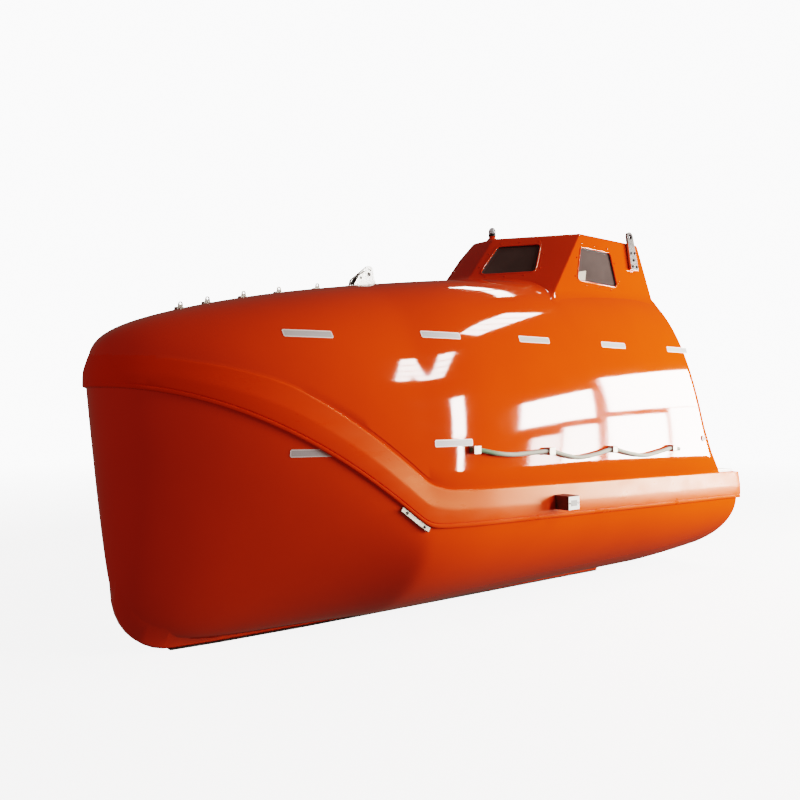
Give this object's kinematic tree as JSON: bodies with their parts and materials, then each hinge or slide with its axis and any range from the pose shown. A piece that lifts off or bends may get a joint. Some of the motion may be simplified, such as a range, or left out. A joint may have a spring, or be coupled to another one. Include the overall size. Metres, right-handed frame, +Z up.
{
  "type": "totally enclosed free-fall lifeboat",
  "caption": "Short enclosed free-fall lifeboat with a rounded bow, fender band, windowed conning tower, stern door, steering nozzle and flat keel.",
  "frame": {"origin": "on the floor under the middle of the boat's box, at the underside of the keel shoe", "axes": "+X to the bow, +Y to port, +Z up"},
  "size_m": [5.21, 2.24, 2.8139],
  "materials": {
    "black_plastic": "black",
    "bronze": "cast bronze",
    "dark_steel": "dark painted steel",
    "engine": "painted grey",
    "lens": "clear",
    "orange_gelcoat": "glossy orange gelcoat",
    "rope": "sleeved rope, green grey",
    "seat": "moulded, dark blue",
    "steel": "satin stainless steel",
    "white_gelcoat": "satin white gelcoat",
    "window": "dark tinted"
  },
  "bodies": {
    "boat": {"aft_lug_port": "steel", "aft_lug_starboard": "steel", "canopy": "orange_gelcoat", "conning_tower": "orange_gelcoat", "corner_strip_port": "steel", "corner_strip_starboard": "steel", "deck_eye_1": "steel", "deck_eye_2": "steel", "deck_eye_3": "steel", "deck_eye_4": "steel", "deck_eye_5": "steel", "door_hinge_lower": "steel", "door_hinge_upper": "steel", "engine": "engine", "forward_lug": "steel", "grab_clip_port_1": "steel", "grab_clip_port_2": "steel", "grab_clip_port_3": "steel", "grab_clip_port_4": "steel", "grab_clip_starboard_1": "steel", "grab_clip_starboard_2": "steel", "grab_clip_starboard_3": "steel", "grab_clip_starboard_4": "steel", "grab_line_port": "rope", "grab_line_starboard": "rope", "helm_console": "white_gelcoat", "helm_seat": "seat", "hull": "orange_gelcoat", "keel_shoe": "dark_steel", "nozzle_bearing": "steel", "position_light_base": "black_plastic", "position_light_dome": "lens", "release_bracket": "steel", "seat_row_port": "seat", "seat_row_starboard": "seat", "side_vent_port": "steel", "side_vent_starboard": "steel", "slide_shoe_port": "steel", "slide_shoe_starboard": "steel", "stern_deck": "white_gelcoat", "stern_handrail_port": "steel", "stern_handrail_starboard": "steel", "stern_tube": "steel", "tower_window_aft": "window", "tower_window_front_port": "window", "tower_window_front_starboard": "window", "tower_window_side_port": "window", "tower_window_side_starboard": "window"},
    "stern_door": {"stern_door": "orange_gelcoat", "door_handle": "steel"},
    "steering_nozzle": {"steering_nozzle": "steel"},
    "propeller": {"propeller": "bronze"},
    "release_hook": {"release_hook": "dark_steel"},
    "helm_wheel": {"helm_wheel": "black_plastic"}
  },
  "joints": [
    {"name": "stern_door_hinge", "type": "hinge", "parent": "boat", "child": "stern_door", "pos_m": [-2.0493, -0.36, 1.16995], "axis": [0.2944, 0, 0.9557], "range_deg": [0, 110]},
    {"name": "propeller_spin", "type": "hinge", "parent": "boat", "child": "propeller", "pos_m": [-2.255, 0, 0.3], "axis": [1, 0, 0], "continuous": true},
    {"name": "nozzle_steer", "type": "hinge", "parent": "boat", "child": "steering_nozzle", "pos_m": [-2.255, 0, 0.3], "axis": [0, 0, 1], "range_deg": [-35, 35]},
    {"name": "release_hook_turn", "type": "hinge", "parent": "boat", "child": "release_hook", "pos_m": [-2.527, 0, 0.775], "axis": [0, -1, 0], "range_deg": [0, 60]},
    {"name": "helm_turn", "type": "hinge", "parent": "boat", "child": "helm_wheel", "pos_m": [-0.565, 0, 1.52], "axis": [-0.8, 0, 0.6], "range_deg": [-540, 540]}
  ],
  "couplings": [
    {"joint": "nozzle_steer", "follows": "helm_turn", "ratio": 0.064815}
  ]
}
